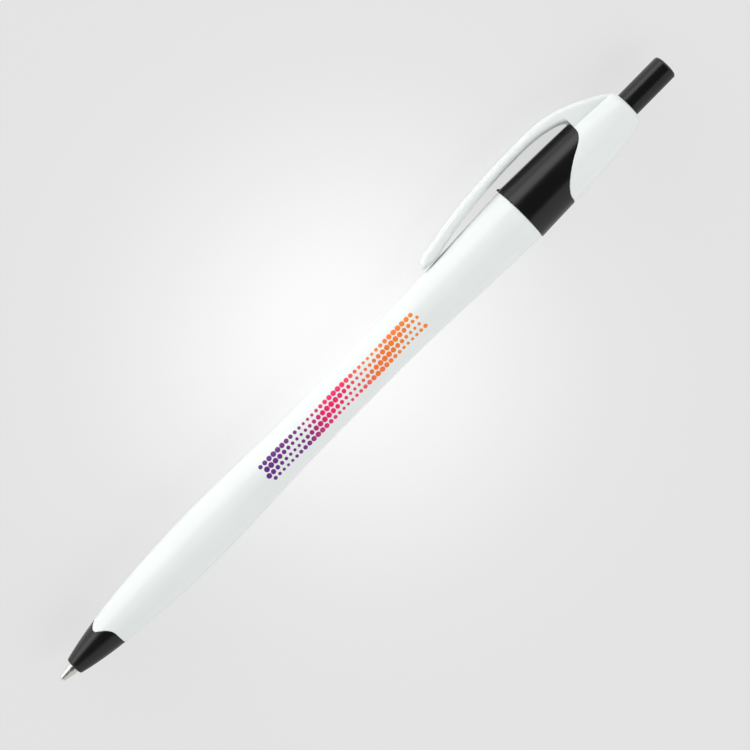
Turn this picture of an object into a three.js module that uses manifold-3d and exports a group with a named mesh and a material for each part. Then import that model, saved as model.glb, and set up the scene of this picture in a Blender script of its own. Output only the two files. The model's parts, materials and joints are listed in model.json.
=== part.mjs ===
// A retractable ballpoint pen with its point out, lying on its side on the band and the clip.
// Millimetres. In the pen's own frame X runs along the axis, from the ball at 0 to the push button,
// and angles round the axis are counted from the clip, at +Y, towards +Z.
import * as THREE from 'three';
import { mergeVertices } from 'three/addons/utils/BufferGeometryUtils.js';
import Module from 'manifold-3d';

const wasm = await Module();
wasm.setup();

// Lengths along the axis
const tipExposure = 3.13;
const frontLength = 107.55;
const rearLength = 25.82;
const buttonShown = 9.5;

// Nose cone
const noseFrontRadius = 1.62;
const noseFlare = 0.26;
const noseEdgeRound = 0.2;
const noseJoinLength = 8.87;
const noseJoinRadius = 3.25;
const noseJoinFlare = 0.125;
const noseWaveClip = 8.02;
const noseWaveTrough = 6.72;
const noseWaveTroughAngle = 50;
const noseWaveMiddle = 7.92;
const noseWaveMiddleAngle = 76;
const noseWaveMiddleSlope = 0.068;
const noseWaveSide = 9.12;
const noseWaveSideAngle = 112;
const noseWaveBack = 8.97;
const noseSpigotRadius = 2.5;
const noseSpigotLength = 13.4;
const noseSeatDepth = 4.87;
const swellFromWave = 0.75;

// Lower barrel
const gripFromNose = 32.4;
const gripRadius = 4.64;
const waistFromNose = 55.9;
const waistLength = 17;
const waistRadius = 4.07;
const barrelEndRadius = 5.24;
const barrelEndFlare = 0.022;
const barrelBoreRadius = 3;
const throatRadius = 2.2;
const throatLength = 3.4;
const throatTaper = 4;

// Screw thread between the band and the lower barrel
const threadCoreRadius = 3.95;
const threadHeight = 0.3;
const threadPitch = 1.6;
const threadTurns = 3;
const threadSpigotLength = 9;
const threadLead = 1.6;
const threadCrest = 0.4;
const threadRoot = 0.9;
const threadChamfer = 0.24;

// Band and upper barrel
const bandFrontRadius = 5.41;
const bandFrontFlare = -0.031;
const bandClipLength = 16.6;
const bandBackLength = 7.92;
const bandWaveFrom = 50;
const bandWaveFromLength = 16.42;
const bandWaveFromSlope = -0.012;
const bandWaveMiddle = 81;
const bandWaveMiddleLength = 13.87;
const bandWaveMiddleSlope = -0.168;
const bandWaveBack = 113;
const bandWaveBackLength = 9.62;
const bandWaveBackSlope = -0.1;
const bandWaveTo = 150;
const bandRearRadius = 4.87;
const bandRearFlare = -0.06;
const bandEdge = 0.12;
const bandNubLength = 0.5;
const bandNubHeight = 0.3;
const sleeveRadius = 4;
const sleeveLength = 19;
const endRoundLength = 1.5;
const endRoundRadius = 3.8;
const endRoundFlare = -0.2;
const endFaceRadius = 2.62;
const endWall = 1.6;

// Clip: heights are from the pen's axis
const clipTipFromBand = 18.28;
const clipTipHeight = 6.9;
const clipTipRise = 0.18;
const clipTipRound = 2.9;
const clipTipDrop = 1.2;
const clipTipFlare = 0.03;
const clipTipEndHeight = 0.25;
const clipTipEndWidth = 0.7;
const clipElbowFromBand = 5.7;
const clipElbowHeight = 8.33;
const clipElbowRise = 0.09;
const clipCrownFromBand = 7.5;
const clipCrownHeight = 8.87;
const clipArchBeforeCrown = 1.2;
const clipShoulderBeforeRoot = 0.5;
const clipShoulderHeight = 8.02;
const clipShoulderFall = -0.28;
const clipFallHeight = 5.83;
const clipFallSlope = -0.5;
const clipFallBeforeEnd = 4.5;
const clipEndHeight = 3.2;
const clipEndSlope = -1;
const clipEndInset = 0.4;
const clipRootDepth = 1.3;
const clipFootLength = 3.78;
const clipKneeLength = 4;
const clipFootRise = 0.3;
const clipKneeRise = 0.17;
const clipKneeThickness = 2.04;
const clipCrownThickness = 1.81;
const clipShoulderThickness = 2.17;
const clipRootRound = 2.7;
const clipTipHalfWidth = 2.1;
const clipCrownHalfWidth = 2.9;
const clipCrownFlare = 0.02;
const clipRootHalfWidth = 3.1;
const clipEndHalfWidth = 1.6;
const clipEndTaper = -0.15;
const clipTopRound = 0.95;
const clipFootUnderRound = 0.5;
const clipArchUnderRound = 0.75;
const clipFullestRound = 0.96;

// Cam guide, cam rotor and push button
const guideWall = 0.5;
const guideRecess = 0.5;
const guideLength = 20.5;
const guideRibsFromBand = 6.5;
const ribCount = 4;
const ribTopAngle = 30;
const ribRootAngle = 45;
const ribSlant = 0.9;
const splineHeight = 0.45;
const rotorBodyRadius = 2.2;
const rotorRibLength = 4;
const rotorLength = 9.8;
const rotorFlangeRadius = 2;
const rotorPlugRadius = 0.8;
const rotorPlugLength = 2.5;
const rotorHollowDepth = 4;
const crownFromRibs = 1;
const crownTeeth = 8;
const crownToothHeight = 0.8;
const crownBoreRadius = 1.35;
const buttonRadius = 2.3;
const buttonRound = 0.55;
const buttonEndWall = 2;
const splineFromCrown = 1;
const retractTravel = 4.8;

// Refill and spring
const ballRadius = 0.5;
const ballGap = 0.04;
const lipFromFront = 0.36;
const lipWall = 0.05;
const pointConeLength = 2.1;
const pointRadius = 1;
const inkChannelRadius = 0.25;
const tubeFromSeat = 1.5;
const tubeRadius = 1.4;
const tubeBoreRadius = 0.95;
const tipShankRadius = 0.9;
const tipShankLength = 3.5;
const inkLength = 72;
const followerLength = 4;
const earHalfSpan = 1.95;
const earLength = 1.6;
const earThickness = 0.8;
const springLength = 14.7;
const springRadius = 1.72;
const wireRadius = 0.17;
const springTurns = 10;
const springEndPitch = 0.8;

// Clearances
const seamGap = 0.06;
const fitGap = 0.1;
const slideGap = 0.11;
const pointGap = 0.15;
const springBoreGap = 0.16;
const inkGap = 0.03;
const seatGap = 0.1;
const footGap = 0.12;

// Places worked out from the sizes above
const noseX = tipExposure;
const noseJoinX = noseX + noseJoinLength;
const springSeatX = noseX + noseSeatDepth;
const noseSpigotX = noseX + noseSpigotLength;
const bandX = noseX + frontLength;
const bandClipX = bandX + bandClipLength;
const upperEndX = bandX + rearLength;
const buttonEndX = upperEndX + buttonShown;
const endWallX = upperEndX - endWall;
const sleeveX = bandX + sleeveLength;
const guideFrontX = bandX + guideRecess;
const guideEndX = guideFrontX + guideLength;
const ribsX = bandX + guideRibsFromBand;
const rotorX = ribsX - rotorLength;
const crownX = ribsX + crownFromRibs;
const tubeX = springSeatX + tubeFromSeat;
const tubeEndX = rotorX - seatGap;
const earsX = springSeatX + seatGap + springLength + seatGap;

const pointHoleRadius = pointRadius + pointGap;
const springBoreRadius = springRadius + wireRadius + springBoreGap;
const buttonHoleRadius = buttonRadius + slideGap;
const splineRadius = buttonHoleRadius + splineHeight;
const guideBoreRadius = splineRadius + fitGap;
const guideRadius = guideBoreRadius + guideWall;
const bandBoreRadius = guideRadius + fitGap;
const threadBoreRadius = threadCoreRadius + fitGap;

const degrees = Math.PI / 180;
const segments = 48;
const refillSegments = 24;
const threadSegments = 16;
const springSegments = 10;
const gapSegments = 24;
const weldDistance = 1e-4;
const overcut = 1;

// A smooth line through stations [x, height, slope], by cubic Hermite spans.
function flow(stations) {
  return (x) => {
    let i = 0;
    while (i < stations.length - 2 && x > stations[i + 1][0]) i += 1;
    const [x0, h0, m0] = stations[i];
    const [x1, h1, m1] = stations[i + 1];
    const span = x1 - x0;
    const t = Math.min(Math.max((x - x0) / span, 0), 1);
    const rise = t * t * (3 - 2 * t);
    const start = t * (1 - t) * (1 - t);
    const end = t * t * (t - 1);
    return h0 + (h1 - h0) * rise + span * (m0 * start + m1 * end);
  };
}

// A wavy edge: x at an angle from the clip, the same on both sides, through stations [angle, x, slope].
function wave(stations) {
  const edge = flow(stations.map(([angle, x, slope = 0]) => [angle, x, slope]));
  return (angle) => edge(Math.abs(THREE.MathUtils.euclideanModulo(angle + 180, 360) - 180));
}

const frontOutline = flow([
  [noseX, noseFrontRadius, noseFlare],
  [noseJoinX, noseJoinRadius, noseJoinFlare],
  [noseX + gripFromNose, gripRadius, 0],
  [noseX + waistFromNose, waistRadius, 0],
  [noseX + waistFromNose + waistLength, waistRadius, 0],
  [bandX, barrelEndRadius, barrelEndFlare],
]);

const rearOutline = flow([
  [bandX, bandFrontRadius, bandFrontFlare],
  [bandClipX, bandRearRadius, bandRearFlare],
  [upperEndX - endRoundLength, endRoundRadius, endRoundFlare],
]);

const noseWave = wave([
  [0, noseX + noseWaveClip],
  [noseWaveTroughAngle, noseX + noseWaveTrough],
  [noseWaveMiddleAngle, noseX + noseWaveMiddle, noseWaveMiddleSlope],
  [noseWaveSideAngle, noseX + noseWaveSide],
  [180, noseX + noseWaveBack],
]);

const bandWave = wave([
  [0, bandClipX],
  [bandWaveFrom, bandX + bandWaveFromLength, bandWaveFromSlope],
  [bandWaveMiddle, bandX + bandWaveMiddleLength, bandWaveMiddleSlope],
  [bandWaveBack, bandX + bandWaveBackLength, bandWaveBackSlope],
  [bandWaveTo, bandX + bandBackLength],
  [180, bandX + bandBackLength],
]);

// Points [x, radius] of an outline at equal steps between two places, both ends included.
function along(outline, from, to, steps) {
  return Array.from({ length: steps + 1 }, (_, i) => {
    const x = from + ((to - from) * i) / steps;
    return [x, outline(x)];
  });
}

// Welds a geometry's vertices and drops the triangles that close to a line.
function weld(geometry) {
  geometry.deleteAttribute('normal');
  geometry.deleteAttribute('uv');
  const merged = mergeVertices(geometry, weldDistance);
  const index = merged.index.array;
  const kept = [];
  for (let i = 0; i < index.length; i += 3) {
    const [a, b, c] = index.slice(i, i + 3);
    if (a !== b && b !== c && c !== a) kept.push(a, b, c);
  }
  merged.setIndex(kept);
  merged.computeVertexNormals();
  return merged;
}

// Skins a closed net of points: rows of equal length, the last row joined to the first where it rings.
// A crossed net has its quads split along the other diagonal.
function skin(rows, { ringRows, capEnds, crossed }) {
  const width = rows[0].length;
  const positions = rows.flat(2);
  const index = [];
  const count = ringRows ? rows.length : rows.length - 1;
  for (let i = 0; i < count; i += 1) {
    const next = (i + 1) % rows.length;
    for (let j = 0; j < width; j += 1) {
      const k = (j + 1) % width;
      const [a, b, c, d] = [i * width + j, next * width + j, next * width + k, i * width + k];
      if (crossed) index.push(a, b, d, b, c, d);
      else index.push(a, b, c, a, c, d);
    }
  }
  if (capEnds) {
    const last = (rows.length - 1) * width;
    for (let j = 1; j < width - 1; j += 1) {
      index.push(0, j, j + 1, last, last + j + 1, last + j);
    }
  }
  const geometry = new THREE.BufferGeometry();
  geometry.setAttribute('position', new THREE.Float32BufferAttribute(positions, 3));
  geometry.setIndex(index);
  return weld(geometry);
}

// A round piece whose closed profile of [x, radius] points may change with the angle.
// A profile runs rearward on the outside and forward on the inside. The rear one of two pieces that meet
// at a wavy seam is crossed, which keeps the seam's two faces parallel.
function turned(profileAt, steps = segments, crossed = false) {
  const rows = Array.from({ length: steps }, (_, i) => {
    const angle = (360 * i) / steps;
    const [c, s] = [Math.cos(angle * degrees), Math.sin(angle * degrees)];
    return profileAt(angle).map(([x, r]) => [x, r * c, r * s]);
  });
  return skin(rows, { ringRows: true, crossed });
}

// A wire or ridge wound round the axis between two turns. The section is a list of [along, outward] points.
function wound(section, radius, placeAt, from, to, stepsPerTurn) {
  const steps = Math.round((to - from) * stepsPerTurn);
  const rows = Array.from({ length: steps + 1 }, (_, i) => {
    const turn = from + i / stepsPerTurn;
    const [c, s] = [Math.cos(2 * Math.PI * turn), Math.sin(2 * Math.PI * turn)];
    return section.map(([dx, dr]) => [placeAt(turn) + dx, (radius + dr) * c, (radius + dr) * s]);
  });
  return skin(rows, { capEnds: true });
}

function solidOf(geometry) {
  const mesh = new wasm.Mesh({
    numProp: 3,
    vertProperties: new Float32Array(geometry.attributes.position.array),
    triVerts: new Uint32Array(geometry.index.array),
  });
  return new wasm.Manifold(mesh);
}

function geometryOf(solid) {
  const { vertProperties, triVerts } = solid.getMesh();
  const geometry = new THREE.BufferGeometry();
  geometry.setAttribute('position', new THREE.Float32BufferAttribute(vertProperties, 3));
  geometry.setIndex(Array.from(triVerts));
  return weld(geometry);
}

// How far an angle lies along a rib centred on it, from 0 to 1, or null between the ribs.
function alongRib(angle, firstRib) {
  const period = 360 / ribCount;
  const offset = THREE.MathUtils.euclideanModulo(angle - firstRib + period / 2, period) - period / 2;
  return Math.abs(offset) <= ribRootAngle / 2 ? offset / ribRootAngle + 0.5 : null;
}

// Radius of a ribbed surface: full height over the rib's top, sloping to the root on its flanks.
function ribbedRadius(angle, firstRib, root, top) {
  const share = alongRib(angle, firstRib);
  if (share === null) return root;
  const offset = Math.abs(share - 0.5) * ribRootAngle;
  const flank = (ribRootAngle - ribTopAngle) / 2;
  const height = Math.min(1, (ribRootAngle / 2 - offset) / flank);
  return root + (top - root) * height;
}

function slantAt(angle, firstRib) {
  return ribSlant * (alongRib(angle, firstRib) ?? 0);
}

// Height of the crown's pointed teeth above their roots.
function toothAt(angle) {
  const phase = THREE.MathUtils.euclideanModulo((angle * crownTeeth) / 360, 1);
  return crownToothHeight * (1 - Math.abs(2 * phase - 1));
}

function noseCone() {
  return turned((angle) => {
    const edge = noseWave(angle);
    return [
      [noseX, pointHoleRadius],
      [noseX, noseFrontRadius - noseEdgeRound],
      ...along(frontOutline, noseX + noseEdgeRound, edge, 4),
      [edge, noseSpigotRadius],
      [noseSpigotX, noseSpigotRadius],
      [noseSpigotX, springBoreRadius],
      [springSeatX, springBoreRadius],
      [springSeatX, pointHoleRadius],
    ];
  });
}

// The thread's ridge, or the groove that it runs in: larger all round, and open at the barrel's mouth.
function threadRidge(grow, from, to) {
  const firstTurnX = bandX - threadLead - threadTurns * threadPitch;
  const placeAt = (turn) => firstTurnX + threadPitch * turn;
  const section = [
    [-threadRoot / 2 - grow, -threadHeight],
    [-threadCrest / 2 - grow, threadHeight + grow],
    [threadCrest / 2 + grow, threadHeight + grow],
    [threadRoot / 2 + grow, -threadHeight],
  ];
  return solidOf(wound(section, threadCoreRadius, placeAt, from, to, threadSegments));
}

function lowerBarrel() {
  const socketEndX = noseSpigotX + seatGap;
  const taperX = socketEndX + throatLength;
  const threadFrontX = bandX - threadSpigotLength - seatGap;
  const swellX = noseX + Math.max(noseWaveClip, noseWaveSide, noseWaveBack) + swellFromWave;
  const swell = along(frontOutline, swellX, noseX + gripFromNose, 5);
  const waist = along(frontOutline, noseX + gripFromNose, noseX + waistFromNose, 4).slice(1);
  const flare = along(frontOutline, noseX + waistFromNose + waistLength, bandX, 6);
  const body = turned((angle) => {
    const edge = noseWave(angle) + seamGap;
    return [
      [edge, noseSpigotRadius + fitGap],
      [edge, frontOutline(edge)],
      ...swell,
      ...waist,
      ...flare,
      [bandX, threadBoreRadius],
      [threadFrontX, threadBoreRadius],
      [threadFrontX, barrelBoreRadius],
      [taperX + throatTaper, barrelBoreRadius],
      [taperX, throatRadius],
      [socketEndX, throatRadius],
      [socketEndX, noseSpigotRadius + fitGap],
    ];
  }, segments, true);
  const stepTurn = 1 / threadSegments;
  const mouthTurn = threadTurns + threadLead / threadPitch + 0.5;
  return geometryOf(solidOf(body).subtract(threadRidge(fitGap, -stepTurn, mouthTurn)));
}

function centerBand() {
  const spigotX = bandX - threadSpigotLength;
  const faceX = bandX + seamGap;
  const body = turned((angle) => {
    const edge = bandWave(angle);
    const nub = angle === 0 ? bandNubHeight : 0;
    return [
      [spigotX, bandBoreRadius],
      [spigotX, threadCoreRadius - threadChamfer],
      [spigotX + threadChamfer, threadCoreRadius],
      [faceX, threadCoreRadius],
      [faceX, bandFrontRadius - bandEdge + nub],
      [faceX + bandEdge, bandFrontRadius + nub],
      [faceX + bandNubLength, rearOutline(faceX + bandNubLength)],
      ...along(rearOutline, faceX + 2 * bandNubLength, edge, 4),
      [edge, sleeveRadius],
      [sleeveX, sleeveRadius],
      [sleeveX, bandBoreRadius],
    ];
  });
  return geometryOf(solidOf(body).add(threadRidge(0, 0, threadTurns)));
}

const clipTipX = bandX - clipTipFromBand;
const clipRootX = bandClipX + seamGap;
const clipFallX = upperEndX - clipFallBeforeEnd;
const clipFootEndX = clipTipX + clipFootLength;
const clipKneeX = clipFootEndX + clipKneeLength;
const clipElbowX = bandX - clipElbowFromBand;
const clipCrownX = bandX + clipCrownFromBand;
const clipArchX = clipCrownX - clipArchBeforeCrown;
const clipBendX = clipRootX - clipRootRound;

const clipTop = flow([
  [clipTipX + clipTipRound, clipTipHeight, clipTipRise],
  [clipElbowX, clipElbowHeight, clipElbowRise],
  [clipCrownX, clipCrownHeight, 0],
  [bandClipX - clipShoulderBeforeRoot, clipShoulderHeight, clipShoulderFall],
  [clipFallX, clipFallHeight, clipFallSlope],
  [upperEndX - clipEndInset, clipEndHeight, clipEndSlope],
]);

const clipKnee = flow([
  [clipFootEndX, frontOutline(clipFootEndX) + footGap, clipFootRise],
  [clipKneeX, clipTop(clipKneeX) - clipKneeThickness, clipKneeRise],
  [clipArchX, clipTop(clipArchX) - clipCrownThickness, 0],
  [clipBendX, clipTop(clipBendX) - clipShoulderThickness, clipShoulderFall],
]);

const clipHalfWidth = flow([
  [clipTipX, clipTipHalfWidth, clipTipFlare],
  [clipCrownX, clipCrownHalfWidth, clipCrownFlare],
  [clipRootX, clipRootHalfWidth, 0],
  [upperEndX, clipEndHalfWidth, clipEndTaper],
]);

const clipUnderRound = flow([
  [clipFootEndX, clipFootUnderRound, 0],
  [clipArchX, clipArchUnderRound, 0],
]);

// Height of the clip's underside: on the barrel at the foot, arched over the band, buried at the root.
function clipUnder(x) {
  if (x <= clipFootEndX) return frontOutline(x) + footGap;
  if (x <= clipBendX) return clipKnee(x);
  if (x >= clipRootX) return clipRootDepth;
  const share = (x - clipBendX) / clipRootRound;
  const arch = clipKnee(clipBendX) + clipShoulderFall * (x - clipBendX);
  return arch - (arch - rearOutline(x)) * (1 - Math.sqrt(1 - share ** 4));
}

// Places along the clip: close together at its rounded tip and at the bend into the root.
function clipPlaces() {
  const tipEndX = clipTipX + clipTipRound;
  const tip = [0.02, 0.15, 0.35, 0.65, 1].map((share) => clipTipX + clipTipRound * share);
  const foot = [(tipEndX + clipFootEndX) / 2, clipFootEndX, (clipFootEndX + clipKneeX) / 2];
  const arm = along(clipTop, clipKneeX, clipBendX, 9).map(([x]) => x);
  const bend = [0.4, 0.7, 0.9, 0.99].map((share) => clipBendX + clipRootRound * share);
  const root = along(clipTop, clipRootX, upperEndX - clipEndInset, 6).map(([x]) => x);
  return [...tip, ...foot, ...arm, ...bend, ...root];
}

// A section of the clip across the pen: a rectangle with rounded corners, from its underside to its top.
function clipSection(x) {
  const tipShare = Math.min((x - clipTipX) / clipTipRound, 1);
  const swelling = Math.sqrt(1 - (1 - tipShare) ** 2);
  const top = clipTop(Math.max(x, clipTipX + clipTipRound)) - (1 - swelling) * clipTipDrop;
  const under = clipUnder(x);
  const middle = (top + under) / 2;
  const halfHeight = ((top - under) / 2) * THREE.MathUtils.lerp(clipTipEndHeight, 1, swelling);
  const halfWidth = clipHalfWidth(x) * THREE.MathUtils.lerp(clipTipEndWidth, 1, swelling);
  const underRound = clipUnderRound(x);
  const fit = Math.min(1, (clipFullestRound * 2 * halfHeight) / (clipTopRound + underRound));
  const corners = [
    [middle + halfHeight, halfWidth, clipTopRound, 0],
    [middle + halfHeight, -halfWidth, clipTopRound, 90],
    [middle - halfHeight, -halfWidth, underRound, 180],
    [middle - halfHeight, halfWidth, underRound, 270],
  ];
  return corners.flatMap(([y, z, round, from]) => {
    const r = round * fit;
    const [cy, cz] = [y - Math.sign(y - middle) * r, z - Math.sign(z) * r];
    return [0, 30, 60, 90].map((turn) => {
      const angle = (from + turn) * degrees;
      return [x, cy + r * Math.sin(angle), cz + r * Math.cos(angle)];
    });
  });
}

function clip() {
  return skin(clipPlaces().map(clipSection), { capEnds: true });
}

function upperBarrel() {
  const sleeveSocketX = sleeveX + seatGap;
  const guideSocketX = guideEndX + seatGap;
  const taperX = upperEndX - endRoundLength;
  const endRound = [30, 60, 90].map((turn) => [
    taperX + endRoundLength * Math.sin(turn * degrees),
    endFaceRadius + (endRoundRadius - endFaceRadius) * Math.cos(turn * degrees),
  ]);
  const bore = [
    [endWallX, buttonHoleRadius],
    [endWallX, guideBoreRadius],
    [guideSocketX, guideBoreRadius],
    [guideSocketX, guideRadius + fitGap],
    [sleeveSocketX, guideRadius + fitGap],
    [sleeveSocketX, sleeveRadius + fitGap],
  ];
  const body = turned((angle) => {
    const edge = bandWave(angle) + seamGap;
    return [
      [edge, sleeveRadius + fitGap],
      ...along(rearOutline, edge, taperX, 5),
      ...endRound,
      [upperEndX, buttonHoleRadius],
      ...bore,
    ];
  }, segments, true);
  const hollow = turned(() => [
    [bandX, 0],
    [bandX, sleeveRadius + fitGap],
    ...[...bore].reverse(),
    [upperEndX + overcut, buttonHoleRadius],
    [upperEndX + overcut, 0],
  ]);
  return geometryOf(solidOf(body).add(solidOf(clip()).subtract(solidOf(hollow))));
}

function camGuide() {
  return turned((angle) => {
    const top = ribbedRadius(angle, 0, guideBoreRadius, buttonHoleRadius);
    const front = ribsX + slantAt(angle, 0);
    return [
      [guideFrontX, guideBoreRadius],
      [guideFrontX, guideRadius],
      [guideEndX, guideRadius],
      [guideEndX, top],
      [front, top],
      [front, guideBoreRadius],
    ];
  });
}

function camRotor() {
  const channel = 180 / ribCount;
  return turned((angle) => {
    const rib = ribbedRadius(angle, channel, rotorBodyRadius, splineRadius);
    const ribEnd = ribsX - seatGap - ribSlant + slantAt(angle, channel);
    const tooth = crownX - seatGap / 2 - crownToothHeight + toothAt(angle);
    const ribFront = ribsX - seatGap - ribSlant - rotorRibLength;
    return [
      [rotorX - rotorPlugLength, 0],
      [rotorX - rotorPlugLength, rotorPlugRadius],
      [rotorX, rotorPlugRadius],
      [rotorX, rotorFlangeRadius],
      [ribFront, rotorBodyRadius],
      [ribFront, rib],
      [ribEnd, rib],
      [ribEnd, rotorBodyRadius],
      [tooth, rotorBodyRadius],
      [tooth, crownBoreRadius],
      [crownX - rotorHollowDepth, crownBoreRadius],
      [crownX - rotorHollowDepth, 0],
    ];
  });
}

function pushButton() {
  const channel = 180 / ribCount;
  const splineFrontX = crownX + seatGap / 2 + crownToothHeight + splineFromCrown;
  const splineEndX = endWallX - retractTravel - seatGap;
  const round = [0, 30, 60, 90].map((turn) => [
    buttonEndX - buttonRound * (1 - Math.sin(turn * degrees)),
    buttonRadius - buttonRound * (1 - Math.cos(turn * degrees)),
  ]);
  return turned((angle) => {
    const rib = ribbedRadius(angle, channel, buttonRadius, splineRadius);
    const tooth = crownX + seatGap / 2 + toothAt(angle);
    return [
      [tooth, crownBoreRadius],
      [tooth, rotorBodyRadius],
      [splineFrontX, rotorBodyRadius],
      [splineFrontX, rib],
      [splineEndX, rib],
      [splineEndX, buttonRadius],
      ...round,
      [buttonEndX, 0],
      [buttonEndX - buttonEndWall, 0],
      [buttonEndX - buttonEndWall, crownBoreRadius],
    ];
  });
}

function refillTube() {
  const tube = turned(() => [
    [tubeX, tubeBoreRadius],
    [tubeX, tubeRadius],
    [tubeEndX, tubeRadius],
    [tubeEndX, tubeBoreRadius],
  ], refillSegments);
  const core = turned(() => [
    [tubeX - overcut, 0],
    [tubeX - overcut, tubeBoreRadius],
    [tubeEndX + overcut, tubeBoreRadius],
    [tubeEndX + overcut, 0],
  ], refillSegments);
  const ears = new THREE.BoxGeometry(earLength, 2 * earHalfSpan, earThickness);
  ears.translate(earsX + earLength / 2, 0, 0);
  return geometryOf(solidOf(tube).add(solidOf(weld(ears)).subtract(solidOf(core))));
}

function metalTip() {
  const seatRadius = ballRadius + ballGap;
  const lipAngle = Math.acos((ballRadius - lipFromFront) / seatRadius) / degrees;
  const backAngle = 180 - Math.asin(inkChannelRadius / seatRadius) / degrees;
  const seat = [4, 3, 2, 1, 0].map((step) => {
    const angle = (lipAngle + ((backAngle - lipAngle) * step) / 4) * degrees;
    return [ballRadius - seatRadius * Math.cos(angle), seatRadius * Math.sin(angle)];
  });
  const shankX = tubeX - seatGap;
  return turned(() => [
    [lipFromFront, seat[4][1] + lipWall],
    [lipFromFront + pointConeLength, pointRadius],
    [shankX, pointRadius],
    [shankX, tipShankRadius],
    [shankX + tipShankLength, tipShankRadius],
    [shankX + tipShankLength, inkChannelRadius],
    ...seat,
  ], refillSegments);
}

// The ink or the grease in the tube, from one place to another.
function filling(from, to) {
  const radius = tubeBoreRadius - inkGap;
  return turned(() => [[from, 0], [from, radius], [to, radius], [to, 0]], refillSegments);
}

const inkX = tubeX - seatGap + tipShankLength + inkGap;
const followerX = inkX + inkLength + inkGap;

function writingBall() {
  return new THREE.SphereGeometry(ballRadius, 16, 10).translate(ballRadius, 0, 0);
}

const springFrontX = springSeatX + seatGap + wireRadius;
const springTravel = springLength - 2 * wireRadius;
const springMiddlePitch = (springTravel - 2 * springEndPitch) / (springTurns - 2);

// Where the wire's centre lies after so many turns: close turns at both ends, open ones between.
function springPlace(turn) {
  const first = Math.min(turn, 1) * springEndPitch;
  const middle = Math.min(Math.max(turn - 1, 0), springTurns - 2) * springMiddlePitch;
  const last = Math.max(turn - springTurns + 1, 0) * springEndPitch;
  return springFrontX + first + middle + last;
}

function returnSpring() {
  const section = [0, 72, 144, 216, 288].map((a) => [
    -wireRadius * Math.cos(a * degrees),
    wireRadius * Math.sin(a * degrees),
  ]);
  return wound(section, springRadius, springPlace, 0, springTurns, springSegments);
}

// The least space between the wire and its own next turn, measured on points along the wire.
function springGap() {
  const points = Array.from({ length: springTurns * gapSegments + 1 }, (_, i) => {
    const turn = i / gapSegments;
    const [c, s] = [Math.cos(2 * Math.PI * turn), Math.sin(2 * Math.PI * turn)];
    return new THREE.Vector3(springPlace(turn), springRadius * c, springRadius * s);
  });
  let least = Infinity;
  for (let i = 0; i < points.length; i += 1) {
    for (let j = i + gapSegments / 2; j < points.length; j += 1) {
      least = Math.min(least, points[i].distanceTo(points[j]) - 2 * wireRadius);
    }
  }
  return least;
}

console.log(`Least gap between the spring's turns: ${springGap().toFixed(2)} mm`);

function material(color, roughness, metalness = 0) {
  return new THREE.MeshStandardMaterial({ color, roughness, metalness });
}

const whitePlastic = material(0xeef3f2, 0.25);
const blackPlastic = material(0x1c1c1d, 0.22);
const innerPlastic = material(0xdfe2e0, 0.45);
const nickelSilver = material(0xb9b6ad, 0.28, 1);
const springSteel = material(0xa9abae, 0.3, 1);
const tubePlastic = material(0xe3ebee, 0.3);
const ink = material(0x14141c, 0.4);
const grease = material(0xd8cf9a, 0.35);

function piece(name, geometry, finish) {
  const mesh = new THREE.Mesh(geometry, finish);
  mesh.name = name;
  return mesh;
}

const barrel = new THREE.Group().add(
  piece('nose_cone', noseCone(), blackPlastic),
  piece('lower_barrel', lowerBarrel(), whitePlastic),
  piece('center_band', centerBand(), blackPlastic),
  piece('upper_barrel', upperBarrel(), whitePlastic),
  piece('cam_guide', camGuide(), innerPlastic),
  piece('return_spring', returnSpring(), springSteel),
);

const refill = new THREE.Group().add(
  piece('refill_tube', refillTube(), tubePlastic),
  piece('metal_tip', metalTip(), nickelSilver),
  piece('writing_ball', writingBall(), nickelSilver),
  piece('ink_column', filling(inkX, inkX + inkLength), ink),
  piece('ink_follower', filling(followerX, followerX + followerLength), grease),
  piece('cam_rotor', camRotor(), innerPlastic),
);

// The pen rolls on its band until an edge of the clip touches the table: the least roll along the clip.
function restingRoll() {
  const rolls = along(clipTop, clipTipX + clipTipRound, clipRootX, 40).map(([x, top]) => {
    const [up, out] = [top - clipTopRound, clipHalfWidth(x) - clipTopRound];
    const reach = Math.hypot(up, out);
    return Math.asin((bandFrontRadius - clipTopRound) / reach) - Math.atan2(out, up);
  });
  return Math.min(...rolls);
}

const pen = new THREE.Group().add(barrel, refill, piece('push_button', pushButton(), blackPlastic));
pen.rotation.x = -restingRoll();

// The pen stands on z = 0, with the middle of its outline at the origin.
const object = new THREE.Group().add(pen);
object.updateMatrixWorld(true);
const outline = new THREE.Box3().setFromObject(object, true);
const middle = outline.getCenter(new THREE.Vector3());
pen.position.set(-middle.x, -middle.y, -outline.min.z);

export default object;
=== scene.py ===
"""A retractable ballpoint pen lying on its band and clip, dressed and lit for a studio photograph."""

import json
import math

import bmesh
import bpy
import numpy as np
from mathutils import Matrix, Vector


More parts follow.
